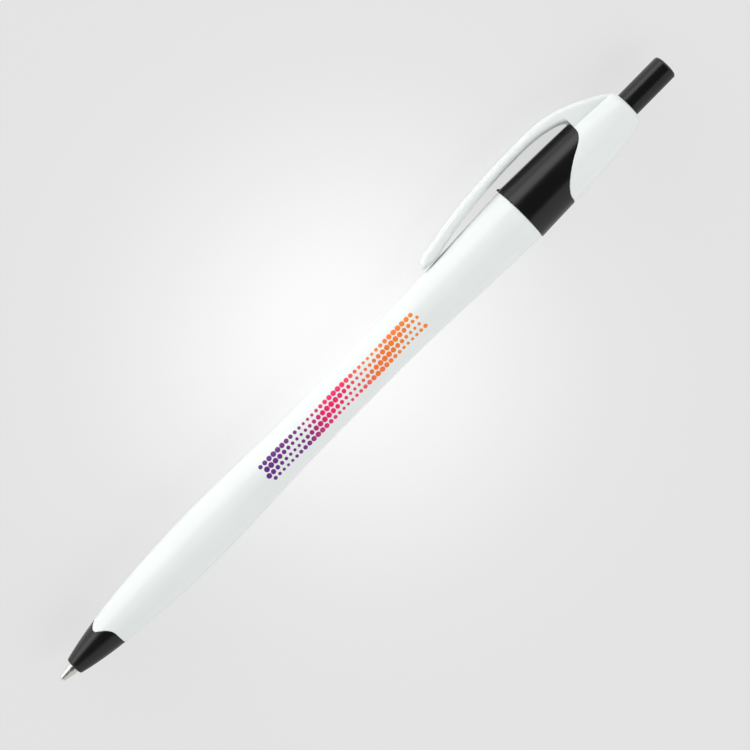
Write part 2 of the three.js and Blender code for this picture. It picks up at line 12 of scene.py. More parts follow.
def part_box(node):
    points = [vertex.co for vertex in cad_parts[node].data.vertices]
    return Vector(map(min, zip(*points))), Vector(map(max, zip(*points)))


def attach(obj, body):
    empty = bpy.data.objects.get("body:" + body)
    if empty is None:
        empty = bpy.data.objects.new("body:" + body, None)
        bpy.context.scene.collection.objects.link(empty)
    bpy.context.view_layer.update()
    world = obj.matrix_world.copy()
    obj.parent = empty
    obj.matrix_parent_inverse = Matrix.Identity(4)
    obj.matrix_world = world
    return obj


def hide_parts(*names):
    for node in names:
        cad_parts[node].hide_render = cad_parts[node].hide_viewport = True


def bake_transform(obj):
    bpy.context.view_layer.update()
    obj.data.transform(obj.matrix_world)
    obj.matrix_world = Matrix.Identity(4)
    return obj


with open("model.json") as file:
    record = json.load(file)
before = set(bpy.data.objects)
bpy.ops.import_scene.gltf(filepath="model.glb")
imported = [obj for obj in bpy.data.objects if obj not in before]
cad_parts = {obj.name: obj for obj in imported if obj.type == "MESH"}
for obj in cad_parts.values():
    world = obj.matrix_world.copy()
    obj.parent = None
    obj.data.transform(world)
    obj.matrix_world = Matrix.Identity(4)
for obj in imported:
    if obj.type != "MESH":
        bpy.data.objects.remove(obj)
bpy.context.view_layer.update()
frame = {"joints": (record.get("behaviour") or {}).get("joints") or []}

# The pen's own frame, in millimetres: X from the ball to the push button, Y towards the clip.
# Angles round the pen are counted from the clip, in degrees.
MM = 0.001
AXIS_POINT = Vector(next(j["pos_m"] for j in frame["joints"] if j["name"] == "cam_turn"))
BALL_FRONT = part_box("writing_ball")[0].x
ROLL = math.radians(18.737445)
PEN_WAY = Vector((1, 0, 0))
CLIP_WAY = Vector((0, math.cos(ROLL), -math.sin(ROLL)))
SIDE_WAY = PEN_WAY.cross(CLIP_WAY)

# Nose cone
NOSE_X = 3.13
NOSE_FRONT_RADIUS = 1.62
NOSE_LIP_ROUND = 0.35
NOSE_HOLE_RADIUS = 1.15
NOSE_HOLE_ROUND = 0.12
NOSE_SPIGOT_X = 16.53
NOSE_SPIGOT_RADIUS = 2.5
SPRING_BORE_RADIUS = 2.05
SPRING_SEAT_X = 8.0

# Lower barrel
BARREL_BORE_RADIUS = 3.0
THROAT_RADIUS = 2.2
THROAT_LENGTH = 3.4
THROAT_TAPER = 4.0

# Screw thread
THREAD_CORE_RADIUS = 3.95
THREAD_HEIGHT = 0.3
THREAD_PITCH = 1.6
THREAD_TURNS = 3
THREAD_LEAD = 1.6
THREAD_SPIGOT_LENGTH = 9.0
THREAD_CREST = 0.4
THREAD_FOOT = 0.65
THREAD_CHAMFER = 0.24
THREAD_FADE = 8
THREAD_STEPS = 90
THREAD_END_MARGIN = 0.3
THREAD_MARGIN = 0.1

# Band and upper barrel
BAND_X = 110.68
BAND_FRONT_RADIUS = 5.41
BAND_CLIP_X = 127.28
BAND_BACK_X = 118.6
BAND_BORE_RADIUS = 3.56
NUB_LENGTH = 0.5
NUB_HEIGHT = 0.3
NUB_HALF_ANGLE = 5.0
NUB_SLOPE_LENGTH = 0.15
SLEEVE_RADIUS = 4.0
SLEEVE_X = 129.68
UPPER_END_X = 136.5
END_ROUND_LENGTH = 1.5
END_ROUND_RADIUS = 3.8
END_FACE_RADIUS = 2.62
END_WALL_X = 134.9
END_HOLE_ROUND = 0.06

# Clip
CLIP_TIP_X = 92.4
CLIP_TIP_ROUND = 2.9
CLIP_TIP_DROP = 1.2
CLIP_TIP_END_HEIGHT = 0.25
CLIP_TIP_END_WIDTH = 0.7
CLIP_FOOT_END_X = 96.18
CLIP_KNEE_X = 100.18
CLIP_ELBOW_X = 104.98
CLIP_ARCH_X = 116.98
CLIP_CROWN_X = 118.18
CLIP_ROOT_X = 127.34
CLIP_BEND_X = 124.64
CLIP_END_X = 136.1
CLIP_KNEE_THICKNESS = 2.04
CLIP_CROWN_THICKNESS = 1.81
CLIP_SHOULDER_THICKNESS = 2.17
CLIP_SHOULDER_FALL = -0.28
CLIP_ROOT_DEPTH = 1.3
CLIP_TOP_ROUND = 1.0
CLIP_FOOT_UNDER_ROUND = 0.5
CLIP_ARCH_UNDER_ROUND = 0.8
CLIP_FULLEST_ROUND = 0.97
CLIP_FOOT_GAP = 0.12
CLIP_TIP_STEPS = 12
CLIP_ARM_STEPS = 90
CLIP_BEND_STEPS = 20
CLIP_ROOT_STEPS = 26
CLIP_CORNER_STEPS = 6

# Cam and button
RIB_COUNT = 4
RIB_TOP_ANGLE = 30
RIB_ROOT_ANGLE = 45
RIB_SLANT = 0.9
RIBS_X = 117.18
CROWN_X = 118.18
CROWN_TEETH = 8
CROWN_TOOTH_HEIGHT = 0.8
CROWN_BORE_RADIUS = 1.35
GUIDE_X = 111.18
GUIDE_END_X = 131.68
GUIDE_RADIUS = 3.46
GUIDE_BORE_RADIUS = 2.96
SPLINE_RADIUS = 2.86
ROTOR_X = 107.38
ROTOR_PLUG_X = 104.88
ROTOR_PLUG_RADIUS = 0.8
ROTOR_PLUG_ROUND = 0.1
ROTOR_FLANGE_RADIUS = 2.0
ROTOR_FLANGE_ROUND = 0.08
ROTOR_BODY_RADIUS = 2.2
ROTOR_RIB_LENGTH = 4.0
ROTOR_HOLLOW_X = 114.18
BUTTON_RADIUS = 2.3
BUTTON_HOLE_RADIUS = 2.41
BUTTON_END_X = 146.0
BUTTON_ROUND = 0.55
BUTTON_END_WALL = 2.0
BUTTON_FACE_RING_RADIUS = 0.3
SPLINE_X = 120.03
SPLINE_END_X = 130.0

# Refill and spring
BALL_RADIUS = 0.5
BALL_SEAT_RADIUS = 0.54
TIP_LIP_X = 0.36
TIP_LIP_WALL = 0.05
TIP_CONE_LENGTH = 2.1
TIP_CONE_ROUND = 0.25
TIP_RADIUS = 1.0
TIP_SHANK_X = 9.4
TIP_SHANK_LENGTH = 3.5
TIP_SHANK_RADIUS = 0.9
TIP_STEP_ROUND = 0.06
TIP_SHANK_ROUND = 0.08
INK_CHANNEL_RADIUS = 0.25
TUBE_X = 9.5
TUBE_END_X = 107.28
TUBE_RADIUS = 1.4
TUBE_BORE_RADIUS = 0.95
TUBE_END_ROUND = 0.08
EAR_X = 22.82
EAR_LENGTH = 1.6
EAR_THICKNESS = 0.8
EAR_HALF_SPAN = 1.95
EAR_FADE = 0.12
EAR_MARGIN = 0.15
EAR_STEPS = 30
INK_X = 12.93
INK_LENGTH = 72.0
FOLLOWER_LENGTH = 4.0
FILLING_GAP = 0.03
FILLING_HOLLOW = 0.25
SPRING_RADIUS = 1.72
SPRING_LENGTH = 14.7
WIRE_RADIUS = 0.17
SPRING_TURNS = 10
SPRING_END_PITCH = 0.8
SPRING_TURN_STEPS = 48
WIRE_SIDES = 12

# Clearances
SEAM_GAP = 0.06
FIT_GAP = 0.1

# Finish of the moulded edges, and how far the even rows of points stay off a rounded edge
WHITE_EDGE_ROUND = 0.16
BLACK_EDGE_ROUND = 0.09
INNER_EDGE_ROUND = 0.15
WHITE_EDGE_MARGIN = 0.45
BLACK_EDGE_MARGIN = 0.3
BARREL_END_MARGIN = 0.4
NOSE_LIP_MARGIN = 0.5
NUB_MARGIN = 0.25

# How finely the surfaces are cut, and where their shading turns sharp, in degrees
SIDES = 192
SMALL_SIDES = 72
BALL_SIDES = 48
SHARP_ANGLE = 38
SAME_POINT = 1e-6


def flow(*stations):
    """A smooth line through stations (x, height, slope), by cubic Hermite spans."""
    xs, heights, slopes = np.array(stations, float).T

    def at(x):
        i = np.clip(np.searchsorted(xs, x) - 1, 0, len(xs) - 2)
        span = xs[i + 1] - xs[i]
        t = np.clip((x - xs[i]) / span, 0, 1)
        rise = t * t * (3 - 2 * t)
        bend = slopes[i] * t * (1 - t) ** 2 + slopes[i + 1] * t * t * (t - 1)
        return heights[i] + (heights[i + 1] - heights[i]) * rise + span * bend

    return at


def wave(*stations):
    """A wavy edge through stations (angle, x, slope), alike on both sides. No slope means 0."""
    edge = flow(*[(*station, 0)[:3] for station in stations])
    return lambda angle: float(edge(abs((angle + 180) % 360 - 180)))


# The barrel's outlines as stations (x, radius, slope), and the wavy edges of the nose and the band
front_outline = flow(
    (NOSE_X, NOSE_FRONT_RADIUS, 0.26),
    (12.0, 3.25, 0.125),
    (35.53, 4.64, 0),
    (59.03, 4.07, 0),
    (76.03, 4.07, 0),
    (BAND_X, 5.24, 0.022),
)
rear_outline = flow(
    (BAND_X, BAND_FRONT_RADIUS, -0.031),
    (BAND_CLIP_X, 4.87, -0.06),
    (UPPER_END_X - END_ROUND_LENGTH, END_ROUND_RADIUS, -0.2),
)
nose_wave = wave((0, 11.15), (50, 9.85), (76, 11.05, 0.068), (112, 12.25), (180, 12.1))
band_wave = wave(
    (0, BAND_CLIP_X),
    (50, 127.1, -0.012),
    (81, 124.55, -0.168),
    (113, 120.3, -0.1),
    (150, BAND_BACK_X),
    (180, BAND_BACK_X),
)


def to_row(points):
    """Points in the pen's own frame, in millimetres, as points in the row frame, in metres."""
    turn = np.array([PEN_WAY, CLIP_WAY, SIDE_WAY])
    origin = np.array([BALL_FRONT, AXIS_POINT.y, AXIS_POINT.z])
    return np.asarray(points, float) @ turn * MM + origin


def along(outline, start, end, steps):
    """Points (x, radius) of an outline at equal steps, both ends included."""
    x = np.linspace(start, end, steps + 1)
    return list(zip(x, outline(x)))


def rounded(corner, before, after, radius, steps=4):
    """A corner of a profile as a short curve that leaves both of its sides smoothly."""
    corner, before, after = (np.array(p, float) for p in (corner, before, after))
    back, forth = before - corner, after - corner
    reach_back = min(radius, np.linalg.norm(back) * 0.45)
    reach_forth = min(radius, np.linalg.norm(forth) * 0.45)
    start = corner + back / max(np.linalg.norm(back), 1e-9) * reach_back
    end = corner + forth / max(np.linalg.norm(forth), 1e-9) * reach_forth
    t = np.linspace(0, 1, steps + 1)[:, None]
    return [tuple(p) for p in (1 - t) ** 2 * start + 2 * t * (1 - t) * corner + t * t * end]


def profile(*points):
    """A closed profile. A point is (x, radius), or (x, radius, round) where its corner is rounded."""
    made = []
    for i, point in enumerate(points):
        if len(point) == 3:
            made += rounded(point[:2], points[i - 1][:2], points[(i + 1) % len(points)][:2], point[2])
        else:
            made.append(point)
    return made


def weld(mesh):
    """Joins points at one place, and takes away faces without area and edges without faces."""
    work = bmesh.new()
    work.from_mesh(mesh)
    bmesh.ops.remove_doubles(work, verts=work.verts, dist=SAME_POINT)
    bmesh.ops.dissolve_degenerate(work, edges=work.edges, dist=SAME_POINT / 10)
    bare = [edge for edge in work.edges if not edge.link_faces]
    bmesh.ops.delete(work, geom=bare, context="EDGES")
    work.to_mesh(mesh)
    work.free()


def mesh_object(name, points, faces):
    """A new object whose mesh has these points of the pen's own frame, welded."""
    mesh = bpy.data.meshes.new(name)
    mesh.from_pydata(to_row(points).tolist(), [], faces)
    weld(mesh)
    made = bpy.data.objects.new(name, mesh)
    bpy.context.scene.collection.objects.link(made)
    return made


def skin(name, rows, ring_rows=True):
    """A closed skin over rows of equal length. Without ring_rows, its two end rows are capped."""
    rows = np.asarray(rows, float)
    count, width = rows.shape[:2]
    faces = []
    for i in range(count if ring_rows else count - 1):
        here, there = i * width, (i + 1) % count * width
        for j in range(width):
            k = (j + 1) % width
            faces.append((here + j, there + j, there + k, here + k))
    if not ring_rows:
        faces.append(tuple(range(width)))
        faces.append(tuple(reversed(range((count - 1) * width, count * width))))
    return mesh_object(name, rows.reshape(-1, 3), faces)


def turned(name, profile_at, sides=SIDES):
    """A round piece whose closed profile may change with the angle. Outside runs rearward."""
    rows = []
    for i in range(sides):
        angle = 360 * i / sides
        x, r = np.array(profile_at(angle), float).T
        way = math.radians(angle)
        rows.append(np.stack([x, r * math.cos(way), r * math.sin(way)], 1))
    return skin(name, rows)


def smooth(piece):
    """Smooth shading, kept crisp at sharp edges and even on the large faces."""
    piece.data.shade_smooth()
    piece.data.set_sharp_from_angle(angle=math.radians(SHARP_ANGLE))
    even = piece.modifiers.new("even_normals", "WEIGHTED_NORMAL")
    even.keep_sharp = True
    even.weight = 50
    return piece


def dress(piece, body, node, material):
    """The piece stands for a CAD node, rides on its body and takes a material."""
    smooth(piece)
    piece.data.materials.append(material)
    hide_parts(node)
    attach(piece, body)


def share_along_rib(angle, first_rib):
    """From 0 to 1 along a rib centred on its angle, or None between the ribs."""
    period = 360 / RIB_COUNT
    offset = (angle - first_rib + period / 2) % period - period / 2
    return offset / RIB_ROOT_ANGLE + 0.5 if abs(offset) <= RIB_ROOT_ANGLE / 2 else None


def ribbed_radius(angle, first_rib, root, top):
    """Radius of a ribbed bore or shaft, whose ribs have slanted flanks."""
    share = share_along_rib(angle, first_rib)
    if share is None:
        return root
    flank = (RIB_ROOT_ANGLE - RIB_TOP_ANGLE) / 2
    height = (RIB_ROOT_ANGLE / 2 - abs(share - 0.5) * RIB_ROOT_ANGLE) / flank
    return root + (top - root) * min(1, height)


def rib_slant(angle, first_rib):
    """How far a rib's end has moved along the pen, which makes the cam turn."""
    return RIB_SLANT * (share_along_rib(angle, first_rib) or 0)


def crown_tooth(angle):
    """Height of the crown's pointed teeth, which the button and the cam share."""
    return CROWN_TOOTH_HEIGHT * (1 - abs(2 * (angle * CROWN_TEETH / 360 % 1) - 1))


def thread_height(x, angle, grow, open_end):
    """Height of the thread over its core. It fades in and, unless its end is open, out again."""
    first = BAND_X - THREAD_LEAD - THREAD_TURNS * THREAD_PITCH
    turn = (x - first) / THREAD_PITCH - angle / 360
    nearest = np.round(turn)
    off = np.abs(turn - nearest) * THREAD_PITCH
    flank = (THREAD_FOOT / 2 + grow - off) / ((THREAD_FOOT - THREAD_CREST) / 2)
    height = np.clip(flank, 0, 1) * (THREAD_HEIGHT + grow)
    place = nearest + angle / 360
    left = place if open_end else np.minimum(place, THREAD_TURNS - place)
    return height * np.clip(left * THREAD_FADE + 0.5, 0, 1)


def nose_cone():
    def profile_at(angle):
        edge = nose_wave(angle)
        return profile(
            (NOSE_X, NOSE_HOLE_RADIUS, NOSE_HOLE_ROUND),
            (NOSE_X, NOSE_FRONT_RADIUS, NOSE_LIP_ROUND),
            *along(front_outline, NOSE_X + NOSE_LIP_MARGIN, edge - BLACK_EDGE_MARGIN, 20),
            (edge, float(front_outline(edge)), BLACK_EDGE_ROUND),
            (edge, NOSE_SPIGOT_RADIUS),
            (NOSE_SPIGOT_X, NOSE_SPIGOT_RADIUS, INNER_EDGE_ROUND),
            (NOSE_SPIGOT_X, SPRING_BORE_RADIUS),
            (SPRING_SEAT_X, SPRING_BORE_RADIUS),
            (SPRING_SEAT_X, NOSE_HOLE_RADIUS),
        )

    return turned("nose_cone_moulded", profile_at)


def lower_barrel():
    socket_x = NOSE_SPIGOT_X + FIT_GAP
    taper_x = socket_x + THROAT_LENGTH
    thread_x = BAND_X - THREAD_SPIGOT_LENGTH - FIT_GAP
    groove_x = np.linspace(BAND_X - THREAD_MARGIN, thread_x + THREAD_END_MARGIN, THREAD_STEPS)

    def profile_at(angle):
        edge = nose_wave(angle) + SEAM_GAP
        groove = THREAD_CORE_RADIUS + FIT_GAP + thread_height(groove_x, angle, FIT_GAP, True)
        return profile(
            (edge, NOSE_SPIGOT_RADIUS + FIT_GAP),
            (edge, float(front_outline(edge)), WHITE_EDGE_ROUND),
            *along(front_outline, edge + WHITE_EDGE_MARGIN, BAND_X - BARREL_END_MARGIN, 170),
            (BAND_X, float(front_outline(BAND_X)), WHITE_EDGE_ROUND),
            (BAND_X, groove[0]),
            *zip(groove_x, groove),
            (thread_x, THREAD_CORE_RADIUS + FIT_GAP),
            (thread_x, BARREL_BORE_RADIUS),
            (taper_x + THROAT_TAPER, BARREL_BORE_RADIUS),
            (taper_x, THROAT_RADIUS),
            (socket_x, THROAT_RADIUS),
            (socket_x, NOSE_SPIGOT_RADIUS + FIT_GAP),
        )

    return turned("lower_barrel_moulded", profile_at)


def center_band():
    spigot_x = BAND_X - THREAD_SPIGOT_LENGTH
    face_x = BAND_X + SEAM_GAP
    ridge_front_x = spigot_x + THREAD_CHAMFER + THREAD_MARGIN
    ridge_x = np.linspace(ridge_front_x, face_x - THREAD_MARGIN, THREAD_STEPS)

    def profile_at(angle):
        edge = band_wave(angle)
        off = min(abs((angle + 180) % 360 - 180) / NUB_HALF_ANGLE, 1)
        nub = NUB_HEIGHT * (1 - off * off) ** 2
        ridge = THREAD_CORE_RADIUS + thread_height(ridge_x, angle, 0, False)
        nub_end = face_x + NUB_LENGTH
        return profile(
            (spigot_x, BAND_BORE_RADIUS),
            (spigot_x, THREAD_CORE_RADIUS - THREAD_CHAMFER),
            (spigot_x + THREAD_CHAMFER, THREAD_CORE_RADIUS),
            *zip(ridge_x, ridge),
            (face_x, THREAD_CORE_RADIUS),
            (face_x, BAND_FRONT_RADIUS + nub, BLACK_EDGE_ROUND),
            (nub_end - NUB_SLOPE_LENGTH, float(rear_outline(nub_end)) + nub),
            (nub_end, float(rear_outline(nub_end)) + nub / 3),
            *along(rear_outline, nub_end + NUB_MARGIN, edge - BLACK_EDGE_MARGIN, 40),
            (edge, float(rear_outline(edge)), BLACK_EDGE_ROUND),
            (edge, SLEEVE_RADIUS),
            (SLEEVE_X, SLEEVE_RADIUS, INNER_EDGE_ROUND),
            (SLEEVE_X, BAND_BORE_RADIUS),
        )

    return turned("center_band_moulded", profile_at)


# The clip as stations (x, height over the pen's axis, slope), and its half width in the same way
clip_top = flow(
    (CLIP_TIP_X + CLIP_TIP_ROUND, 6.9, 0.18),
    (CLIP_ELBOW_X, 8.33, 0.09),
    (CLIP_CROWN_X, 8.87, 0),
    (BAND_CLIP_X - 0.5, 8.02, CLIP_SHOULDER_FALL),
    (132.0, 5.83, -0.5),
    (CLIP_END_X, 3.2, -1),
)
clip_knee = flow(
    (CLIP_FOOT_END_X, float(front_outline(CLIP_FOOT_END_X)) + CLIP_FOOT_GAP, 0.3),
    (CLIP_KNEE_X, float(clip_top(CLIP_KNEE_X)) - CLIP_KNEE_THICKNESS, 0.17),
    (CLIP_ARCH_X, float(clip_top(CLIP_ARCH_X)) - CLIP_CROWN_THICKNESS, 0),
    (CLIP_BEND_X, float(clip_top(CLIP_BEND_X)) - CLIP_SHOULDER_THICKNESS, CLIP_SHOULDER_FALL),
)
clip_under_round = flow(
    (CLIP_FOOT_END_X, CLIP_FOOT_UNDER_ROUND, 0),
    (CLIP_ARCH_X, CLIP_ARCH_UNDER_ROUND, 0),
)
clip_half_width = flow(
    (CLIP_TIP_X, 2.1, 0.03),
    (CLIP_CROWN_X, 2.9, 0.02),
    (CLIP_ROOT_X, 3.1, 0),
    (UPPER_END_X, 1.6, -0.15),
)


def clip_under(x):
    """Height of the underside: on the barrel at the foot, arched over the band, buried at the root."""
    if x <= CLIP_FOOT_END_X:
        return float(front_outline(x)) + CLIP_FOOT_GAP
    if x <= CLIP_BEND_X:
        return float(clip_knee(x))
    if x >= CLIP_ROOT_X:
        return CLIP_ROOT_DEPTH
    share = (x - CLIP_BEND_X) / (CLIP_ROOT_X - CLIP_BEND_X)
    arch = float(clip_knee(CLIP_BEND_X)) + CLIP_SHOULDER_FALL * (x - CLIP_BEND_X)
    return arch - (arch - float(rear_outline(x))) * (1 - math.sqrt(1 - share**4))


def clip_section(x):
    """A rectangle with rounded corners across the clip, closing to the tip's rounded end."""
    swelling = math.sqrt(1 - (1 - min((x - CLIP_TIP_X) / CLIP_TIP_ROUND, 1)) ** 2)
    top = float(clip_top(max(x, CLIP_TIP_X + CLIP_TIP_ROUND))) - (1 - swelling) * CLIP_TIP_DROP
    under = clip_under(x)
    middle = (top + under) / 2
    half_height = (top - under) / 2 * (CLIP_TIP_END_HEIGHT + (1 - CLIP_TIP_END_HEIGHT) * swelling)
    half_width = float(clip_half_width(x)) * (CLIP_TIP_END_WIDTH + (1 - CLIP_TIP_END_WIDTH) * swelling)
    under_round = float(clip_under_round(x))
    fit = min(1, CLIP_FULLEST_ROUND * 2 * half_height / (CLIP_TOP_ROUND + under_round))
    points = []
    for up, out, round_off, start in (
        (1, 1, CLIP_TOP_ROUND, 0),
        (1, -1, CLIP_TOP_ROUND, 90),
        (-1, -1, under_round, 180),
        (-1, 1, under_round, 270),
    ):
        r = round_off * fit
        y, z = middle + up * (half_height - r), out * (half_width - r)
        for i in range(CLIP_CORNER_STEPS + 1):
            turn = math.radians(start + 90 * i / CLIP_CORNER_STEPS)
            points.append((x, y + r * math.sin(turn), z + r * math.cos(turn)))
    return points


def clip():
    """The clip by itself. Its sections lie closest at the rounded tip and at the bend."""
    tip_shares = 1 - np.cos(np.linspace(0.14, math.pi / 2, CLIP_TIP_STEPS))
    tip = CLIP_TIP_X + CLIP_TIP_ROUND * tip_shares
    arm = np.linspace(CLIP_TIP_X + CLIP_TIP_ROUND + 0.2, CLIP_BEND_X, CLIP_ARM_STEPS)
    bend_shares = np.sin(np.linspace(0.1, 1.5, CLIP_BEND_STEPS))
    bend = CLIP_BEND_X + (CLIP_ROOT_X - CLIP_BEND_X) * bend_shares
    root = np.linspace(CLIP_ROOT_X, CLIP_END_X, CLIP_ROOT_STEPS)
    return skin("clip_blank", [clip_section(x) for x in (*tip, *arm, *bend, *root)], ring_rows=False)


def combine(piece, other, operation):
    """The piece joined with, or cut by, another one, which is used up."""
    step = piece.modifiers.new(operation.lower(), "BOOLEAN")
    step.operation = operation
    step.solver = "EXACT"
    step.object = other
    bpy.context.view_layer.update()
    mesh = bpy.data.meshes.new_from_object(piece.evaluated_get(bpy.context.evaluated_depsgraph_get()))
    piece.modifiers.clear()
    piece.data = mesh
    bpy.data.objects.remove(other)
    return piece


def upper_barrel():
    """The rear half of the barrel, with its rounded end, joined with the clip."""
    taper_x = UPPER_END_X - END_ROUND_LENGTH
    end_round = [
        (
            taper_x + END_ROUND_LENGTH * math.sin(turn),
            END_FACE_RADIUS + (END_ROUND_RADIUS - END_FACE_RADIUS) * math.cos(turn),
        )
        for turn in np.linspace(0, math.pi / 2, 13)[1:]
    ]
    bore = [
        (END_WALL_X, BUTTON_HOLE_RADIUS),
        (END_WALL_X, GUIDE_BORE_RADIUS),
        (GUIDE_END_X + FIT_GAP, GUIDE_BORE_RADIUS),
        (GUIDE_END_X + FIT_GAP, GUIDE_RADIUS + FIT_GAP),
        (SLEEVE_X + FIT_GAP, GUIDE_RADIUS + FIT_GAP),
        (SLEEVE_X + FIT_GAP, SLEEVE_RADIUS + FIT_GAP),
    ]

    def profile_at(angle):
        edge = band_wave(angle) + SEAM_GAP
        return profile(
            (edge, SLEEVE_RADIUS + FIT_GAP),
            (edge, float(rear_outline(edge)), WHITE_EDGE_ROUND),
            *along(rear_outline, edge + WHITE_EDGE_MARGIN, taper_x, 40),
            *end_round,
            (UPPER_END_X, BUTTON_HOLE_RADIUS, END_HOLE_ROUND),
            *bore,
        )

    hollow = profile(
        (BAND_X, 0),
        (BAND_X, SLEEVE_RADIUS + FIT_GAP),
        *reversed(bore),
        (UPPER_END_X + 1, BUTTON_HOLE_RADIUS),
        (UPPER_END_X + 1, 0),
    )
    arm = combine(clip(), turned("hollow", lambda angle: hollow), "DIFFERENCE")
    return combine(turned("upper_barrel_moulded", profile_at), arm, "UNION")


def cam_guide():
    def profile_at(angle):
        top = ribbed_radius(angle, 0, GUIDE_BORE_RADIUS, BUTTON_HOLE_RADIUS)
        front = RIBS_X + rib_slant(angle, 0)
        return profile(
            (GUIDE_X, GUIDE_BORE_RADIUS),
            (GUIDE_X, GUIDE_RADIUS, INNER_EDGE_ROUND),
            (GUIDE_END_X, GUIDE_RADIUS, INNER_EDGE_ROUND),
            (GUIDE_END_X, top),
            (front, top),
            (front, GUIDE_BORE_RADIUS),
        )

    return turned("cam_guide_moulded", profile_at)


def cam_rotor():
    channel = 180 / RIB_COUNT

    def profile_at(angle):
        rib = ribbed_radius(angle, channel, ROTOR_BODY_RADIUS, SPLINE_RADIUS)
        rib_end = RIBS_X - FIT_GAP - RIB_SLANT + rib_slant(angle, channel)
        rib_front = RIBS_X - FIT_GAP - RIB_SLANT - ROTOR_RIB_LENGTH
        tooth = CROWN_X - FIT_GAP / 2 - CROWN_TOOTH_HEIGHT + crown_tooth(angle)
        return profile(
            (ROTOR_PLUG_X, 0),
            (ROTOR_PLUG_X, ROTOR_PLUG_RADIUS, ROTOR_PLUG_ROUND),
            (ROTOR_X, ROTOR_PLUG_RADIUS),
            (ROTOR_X, ROTOR_FLANGE_RADIUS, ROTOR_FLANGE_ROUND),
            (rib_front, ROTOR_BODY_RADIUS),
            (rib_front, rib),
            (rib_end, rib),
            (rib_end, ROTOR_BODY_RADIUS),
            (tooth, ROTOR_BODY_RADIUS),
            (tooth, CROWN_BORE_RADIUS),
            (ROTOR_HOLLOW_X, CROWN_BORE_RADIUS),
            (ROTOR_HOLLOW_X, 0),
        )

    return turned("cam_rotor_moulded", profile_at)


def push_button():
    channel = 180 / RIB_COUNT
    end_round = [
        (
            BUTTON_END_X - BUTTON_ROUND * (1 - math.sin(turn)),
            BUTTON_RADIUS - BUTTON_ROUND * (1 - math.cos(turn)),
        )
        for turn in np.linspace(0, math.pi / 2, 9)
    ]

    def profile_at(angle):
        rib = ribbed_radius(angle, channel, BUTTON_RADIUS, SPLINE_RADIUS)
        tooth = CROWN_X + FIT_GAP / 2 + crown_tooth(angle)
        return profile(
            (tooth, CROWN_BORE_RADIUS),
            (tooth, ROTOR_BODY_RADIUS),
            (SPLINE_X, ROTOR_BODY_RADIUS),
            (SPLINE_X, rib),
            (SPLINE_END_X, rib),
            (SPLINE_END_X, BUTTON_RADIUS),
            (UPPER_END_X, BUTTON_RADIUS),
            *end_round,
            (BUTTON_END_X, BUTTON_FACE_RING_RADIUS),
            (BUTTON_END_X, 0),
            (BUTTON_END_X - BUTTON_END_WALL, 0),
            (BUTTON_END_X - BUTTON_END_WALL, CROWN_BORE_RADIUS),
        )

    return turned("push_button_moulded", profile_at)


def metal_tip():
    """The turned point, with a round seat whose lip holds the ball."""
    lip_angle = math.acos((BALL_RADIUS - TIP_LIP_X) / BALL_SEAT_RADIUS)
    back_angle = math.pi - math.asin(INK_CHANNEL_RADIUS / BALL_SEAT_RADIUS)
    seat = [
        (BALL_RADIUS - BALL_SEAT_RADIUS * math.cos(turn), BALL_SEAT_RADIUS * math.sin(turn))
        for turn in np.linspace(back_angle, lip_angle, 13)
    ]
    made = profile(
        (TIP_LIP_X, seat[-1][1] + TIP_LIP_WALL),
        (TIP_LIP_X + TIP_CONE_LENGTH, TIP_RADIUS, TIP_CONE_ROUND),
        (TIP_SHANK_X, TIP_RADIUS, TIP_STEP_ROUND),
        (TIP_SHANK_X, TIP_SHANK_RADIUS),
        (TIP_SHANK_X + TIP_SHANK_LENGTH, TIP_SHANK_RADIUS, TIP_SHANK_ROUND),
        (TIP_SHANK_X + TIP_SHANK_LENGTH, INK_CHANNEL_RADIUS),
        *seat,
    )
    return turned("metal_tip_turned", lambda angle: made, SMALL_SIDES)


def writing_ball():
    arc = [
        (BALL_RADIUS - BALL_RADIUS * math.cos(turn), BALL_RADIUS * math.sin(turn))
        for turn in np.linspace(0, math.pi, 33)
    ]
    return turned("writing_ball_ground", lambda angle: arc, BALL_SIDES)


def refill_tube():
    """The tube swells smoothly into two pinched ears, which the spring pushes on."""
    places = np.linspace(EAR_X - EAR_MARGIN, EAR_X + EAR_LENGTH + EAR_MARGIN, EAR_STEPS)
    from_ends = np.minimum(places - EAR_X, EAR_X + EAR_LENGTH - places)
    inside = np.clip(from_ends / EAR_FADE + 0.5, 0, 1)

    def profile_at(angle):
        way = math.radians(angle)
        ear_reach = min(
            EAR_HALF_SPAN / max(abs(math.cos(way)), 1e-6),
            EAR_THICKNESS / 2 / max(abs(math.sin(way)), 1e-6),
        )
        ear = max(TUBE_RADIUS, ear_reach)
        return profile(
            (TUBE_X, TUBE_BORE_RADIUS),
            (TUBE_X, TUBE_RADIUS, TUBE_END_ROUND),
            *zip(places, TUBE_RADIUS + (ear - TUBE_RADIUS) * inside),
            (TUBE_END_X, TUBE_RADIUS, TUBE_END_ROUND),
            (TUBE_END_X, TUBE_BORE_RADIUS),
        )

    return turned("refill_tube_drawn", profile_at)


def filling(name, start, end):
    """Ink or grease in the tube, with the hollow ends that a liquid has there."""
    radius = TUBE_BORE_RADIUS - FILLING_GAP
    shares = np.linspace(0, 1, 7)
    front = [(start + FILLING_HOLLOW * (1 - s * s), radius * s) for s in shares]
    back = [(end - FILLING_HOLLOW * (1 - s * s), radius * s) for s in reversed(shares)]
    return turned(name, lambda angle: front + back, SMALL_SIDES)


